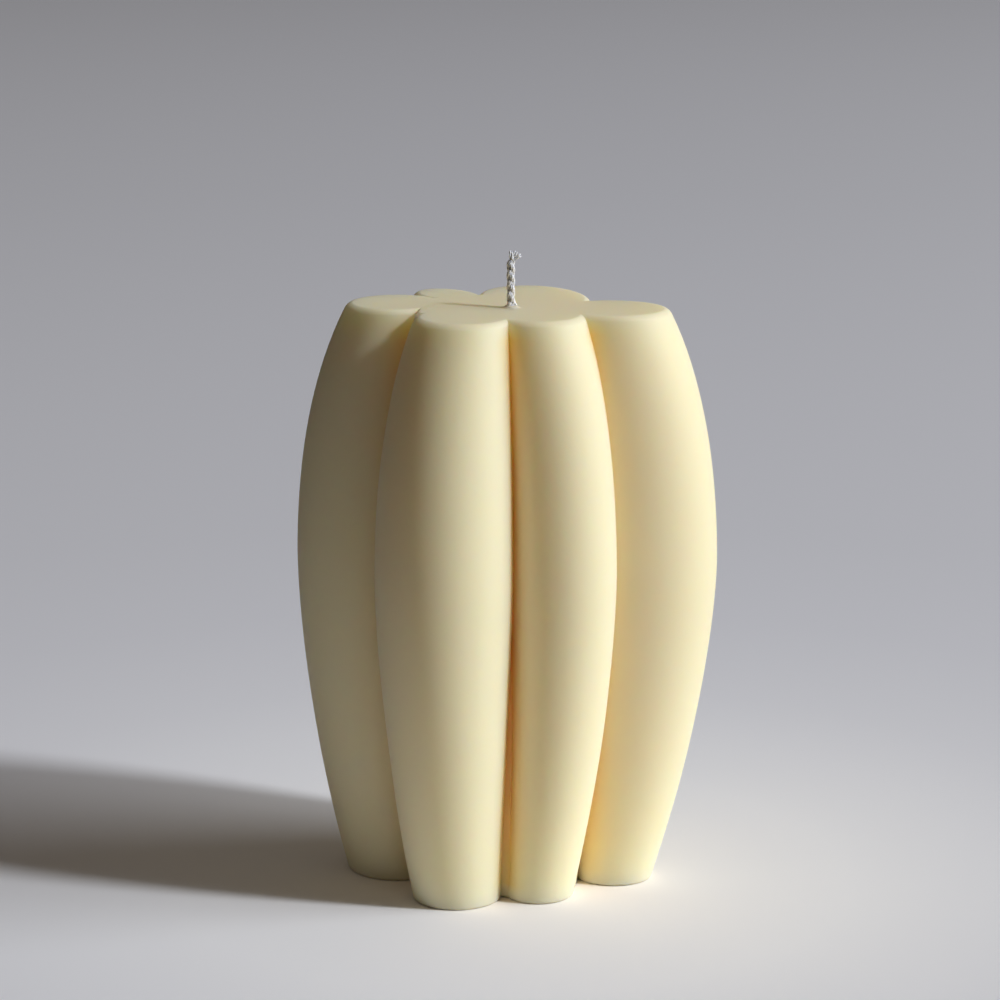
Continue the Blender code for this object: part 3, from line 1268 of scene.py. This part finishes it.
@dataclass
class WickTab:
    """The pressed tab: a disc with a rolled edge and a neck crimped on to the wick."""

    place: Vector
    recess: float = 0.6 * MM
    thickness: float = 0.5 * MM
    radius: float = 7.5 * MM
    bore: float = 1.3 * MM
    neck_radius: float = 1.75 * MM
    neck_top: float = 6.0 * MM
    edge: float = 0.2 * MM
    step_radius: float = 5.2 * MM
    step_rise: float = 0.12 * MM
    step_slope: float = 0.4 * MM
    neck_steps: int = 10
    neck_foot: float = 0.6 * MM
    neck_fillet: float = 0.2 * MM
    neck_spread: float = 0.7 * MM
    mouth_width: float = 0.6 * MM
    mouth_height: float = 0.5 * MM
    edge_steps: int = 4
    crimps: int = 4
    crimp_depth: float = 0.25 * MM
    crimp_height: float = 3.9 * MM
    crimp_reach: float = 1.1 * MM
    sides: int = 96

    def build(self) -> bpy.types.Object:
        """Spin and crimp the tab.

        Returns:
            The finished tab.
        """
        low = self.recess
        high = self.recess + self.thickness
        rise = self.step_rise
        outline = [(self.bore, self.neck_top), (self.neck_radius, self.neck_top)]
        for step in range(1, self.neck_steps + 1):
            share = step / self.neck_steps
            drop = (high + self.neck_foot - self.neck_top) * share
            outline.append((self.neck_radius, self.neck_top + drop))
        outline += [
            (self.neck_radius + self.neck_fillet, high + self.neck_fillet + rise),
            (self.neck_radius + self.neck_spread, high + rise),
            (self.step_radius - self.step_slope, high + rise),
            (self.step_radius, high),
        ]
        rim = self.radius - self.edge
        outline += quarter_arc((rim, high - self.edge), self.edge, 90.0, self.edge_steps)
        outline += quarter_arc((rim, low + self.edge), self.edge, 0.0, self.edge_steps)
        outline += [
            (self.step_radius, low),
            (self.step_radius - self.step_slope, low + rise),
            (self.bore + self.mouth_width, low + rise),
            (self.bore, low + rise + self.mouth_height),
        ]
        for step in range(1, self.neck_steps):
            share = step / self.neck_steps
            base = low + rise + self.mouth_height
            outline.append((self.bore, base + (self.neck_top - base) * share))
        tab = spin_outline("pressed_tab", outline, self.sides, self.place)
        self._crimp(tab)
        shade_by_angle(tab)
        return tab

    def dress(self, tab: bpy.types.Object, finish: TinnedSteelFinish) -> None:
        """Give the tab its finish and tie it to the frame.

        Args:
            tab: The finished tab.
            finish: The tinned steel.
        """
        tab.data.materials.append(finish.material())
        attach(tab, BODY)
        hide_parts("wick_tab")

    def _crimp(self, tab: bpy.types.Object) -> None:
        """Press dents into the neck, as the crimping jaws do.

        Args:
            tab: The tab with a plain neck.
        """
        for vertex in tab.data.vertices:
            from_axis = vertex.co - self.place
            if from_axis.z < self.recess + self.thickness + self.neck_foot:
                continue
            angle = math.atan2(from_axis.y, from_axis.x)
            across = max(0.0, math.cos(self.crimps * angle)) ** 2
            along = math.exp(-(((from_axis.z - self.crimp_height) / self.crimp_reach) ** 2))
            inward = Vector((-from_axis.x, -from_axis.y, 0.0)).normalized()
            vertex.co += inward * (self.crimp_depth * across * along)


# The studio


@dataclass(frozen=True)
class Lamp:
    """A round soft lamp: where it hangs as seen from the candle, in degrees and metres."""

    name: str
    azimuth: float
    elevation: float
    distance: float
    size: float
    power: float
    tint: Span = (0.965, 1.0, 1.09)

    def hang(self, aim: Vector) -> None:
        """Hang the lamp and turn it to a point.

        Args:
            aim: The point.
        """
        azimuth = math.radians(self.azimuth)
        elevation = math.radians(self.elevation)
        out = Vector((
            math.cos(elevation) * math.cos(azimuth),
            math.cos(elevation) * math.sin(azimuth),
            math.sin(elevation),
        ))
        light = bpy.data.lights.new(self.name, "AREA")
        light.shape = "DISK"
        light.size = self.size
        light.energy = self.power
        light.color = self.tint
        lamp = bpy.data.objects.new(self.name, light)
        lamp.location = aim + out * self.distance
        lamp.rotation_euler = out.to_track_quat("Z", "Y").to_euler()
        bpy.context.scene.collection.objects.link(lamp)


@dataclass
class Studio:
    """The floor, the lamps, the world and the camera. The place is the casting's centre.

    The floor's tones are (distance in metres, grey, blueness); their grey, which deepens away from
    the candle, is painted shade. Past the near end of the bounce reach the floor gives the candle
    less light than it shows the camera.
    """

    place: Vector
    wax_top: float = 135.0 * MM
    floor_radius: float = 8.0
    floor_gap: float = 0.05 * MM
    floor_sides: int = 96
    floor_roughness: float = 0.9
    floor_specular: float = 0.2
    floor_shade_tones: tuple[tuple[float, float, float], ...] = (
        (0.0, 0.92, 0.98),
        (0.08, 0.92, 0.99),
        (0.12, 0.86, 1.0),
        (0.16, 0.79, 1.01),
        (0.24, 0.72, 1.02),
        (0.35, 0.68, 1.02),
        (0.60, 0.655, 1.02),
        (1.14, 0.61, 1.02),
        (3.0, 0.56, 1.02),
    )
    bounce_reach: tuple[float, float] = (0.10, 0.35)
    bounce_far: float = 0.15
    lens: float = 127.1
    sensor: float = 36.0
    pitch: float = 12.97
    camera_right: float = -2.54 * MM
    camera_up: float = -43.98 * MM
    camera_back: float = 800.05 * MM
    lamps: tuple[Lamp, ...] = (
        Lamp("key", -21.3, 37.0, 8.0, 0.9, 335.0),
        Lamp("window", -6.0, 20.0, 6.0, 4.0, 232.0),
    )
    fill_low: float = 0.0
    fill_high: float = 0.165
    fill_tint: Span = (1.0, 0.86, 0.74)
    backdrop: float = 0.32
    backdrop_tint: Span = (0.98, 0.98, 1.0)
    clip: tuple[float, float] = (0.05, 50.0)

    def build(self) -> None:
        """Set up the whole studio."""
        self._floor()
        for lamp in self.lamps:
            lamp.hang(Vector((0.0, 0.0, self.wax_top / 2)))
        self._world()
        self._camera()

    def _floor(self) -> None:
        """Lay a round floor, pale near the candle and greyer away from it; the greying is painted
        shade.
        """
        floor = add_circle(
            "floor", self.floor_sides, radius=self.floor_radius, place=(0, 0, -self.floor_gap)
        )
        apply_place(floor)
        floor.data.materials.append(self._paper())

    def _paper(self) -> bpy.types.Material:
        """Build the floor's paper, whose grey is painted shade that deepens with the distance from
        the origin.

        Returns:
            The material.
        """
        made, shader = new_material("paper_floor")
        tree = made.node_tree
        shader.inputs["Roughness"].default_value = self.floor_roughness
        shader.inputs["Specular IOR Level"].default_value = self.floor_specular
        where = tree.nodes.new("ShaderNodeTexCoord").outputs["Object"]
        length = tree.nodes.new("ShaderNodeVectorMath")
        length.operation = "LENGTH"
        tree.links.new(where, length.inputs[0])
        # The ramp paints shade: the floor greys with its distance from the candle
        ramp = tree.nodes.new("ShaderNodeValToRGB")
        reach = self.floor_shade_tones[-1][0]
        stops = ramp.color_ramp.elements
        while len(stops) < len(self.floor_shade_tones):
            stops.new(0.5)
        for stop, (distance, tone, blueness) in zip(stops, self.floor_shade_tones):
            stop.position = math.sqrt(distance / reach)
            stop.color = (tone, tone, tone * blueness, 1.0)
        share = math_node(tree, "DIVIDE", length.outputs["Value"], reach)
        tree.links.new(math_node(tree, "POWER", share, 0.5), ramp.inputs["Fac"])
        bounce = (1.0, self.bounce_far)
        dim = range_node(tree, length.outputs["Value"], bounce, self.bounce_reach)
        path = tree.nodes.new("ShaderNodeLightPath")
        kept = math_node(tree, "MAXIMUM", path.outputs["Is Camera Ray"], dim)
        tone = tree.nodes.new("ShaderNodeVectorMath")
        tone.operation = "SCALE"
        tree.links.new(ramp.outputs["Color"], tone.inputs["Vector"])
        tree.links.new(kept, tone.inputs["Scale"])
        tree.links.new(tone.outputs["Vector"], shader.inputs["Base Color"])
        return made

    def _world(self) -> None:
        """Fill the shadows softly, and show a plain grey where no floor is seen."""
        world = bpy.data.worlds.new("studio")
        world.use_nodes = True
        tree = world.node_tree
        light = tree.nodes["Background"]
        light.inputs["Color"].default_value = (*self.fill_tint, 1.0)
        upward = tree.nodes.new("ShaderNodeSeparateXYZ")
        where = tree.nodes.new("ShaderNodeTexCoord").outputs["Generated"]
        tree.links.new(where, upward.inputs["Vector"])
        sky = range_node(tree, upward.outputs["Z"], (self.fill_low, self.fill_high))
        tree.links.new(sky, light.inputs["Strength"])
        seen = tree.nodes.new("ShaderNodeBackground")
        seen.inputs["Color"].default_value = (*self.backdrop_tint, 1.0)
        seen.inputs["Strength"].default_value = self.backdrop
        path = tree.nodes.new("ShaderNodeLightPath")
        mix = tree.nodes.new("ShaderNodeMixShader")
        tree.links.new(path.outputs["Is Camera Ray"], mix.inputs["Fac"])
        tree.links.new(light.outputs["Background"], mix.inputs[1])
        tree.links.new(seen.outputs["Background"], mix.inputs[2])
        tree.links.new(mix.outputs["Shader"], tree.nodes["World Output"].inputs["Surface"])
        bpy.context.scene.world = world

    def _camera(self) -> None:
        """Place the camera from the middle of the top face, looking back along +Y and down."""
        pitch = math.radians(self.pitch)
        forward = Vector((0.0, math.cos(pitch), -math.sin(pitch)))
        upward = Vector((0.0, math.sin(pitch), math.cos(pitch)))
        rightward = Vector((1.0, 0.0, 0.0))
        target = self.place + Vector((0.0, 0.0, self.wax_top))
        data = bpy.data.cameras.new("photo_camera")
        data.lens = self.lens
        data.sensor_width = self.sensor
        data.sensor_fit = "HORIZONTAL"
        data.clip_start, data.clip_end = self.clip
        camera = bpy.data.objects.new("photo_camera", data)
        aim = target + rightward * self.camera_right + upward * self.camera_up
        camera.location = aim - forward * self.camera_back
        camera.rotation_euler = (math.pi / 2 - pitch, 0.0, 0.0)
        bpy.context.scene.collection.objects.link(camera)
        bpy.context.scene.camera = camera


def main() -> None:
    """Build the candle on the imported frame."""
    logging.basicConfig(level=logging.INFO, format="%(name)s: %(message)s")
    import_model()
    tab_low, tab_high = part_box("wick_tab")
    place = Vector(((tab_low.x + tab_high.x) / 2, (tab_low.y + tab_high.y) / 2, 0.0))
    centre = place + Vector((0.0, WICK_FORWARD, 0.0))
    LOG.info("wick stands at %.4f, %.4f mm", place.x / MM, place.y / MM)

    Studio(centre).build()

    wax_body = WaxBody(centre, place)
    body = wax_body.build()
    wax_body.dress(body, WaxFinish(Pour.BODY))
    report(body)

    base_plug = BasePlug(place)
    plug = base_plug.build()
    base_plug.dress(plug, WaxFinish(Pour.PLUG, roughness=(0.45, 0.6)))
    report(plug)

    wick = Wick(place)
    cords = wick.build()
    wick.dress(cords, CottonFinish())
    for piece in cords:
        report(piece)

    wick_tab = WickTab(place)
    tab = wick_tab.build()
    wick_tab.dress(tab, TinnedSteelFinish())
    report(tab)

    bpy.context.scene.view_settings.view_transform = "Standard"


if __name__ == "__main__":
    main()
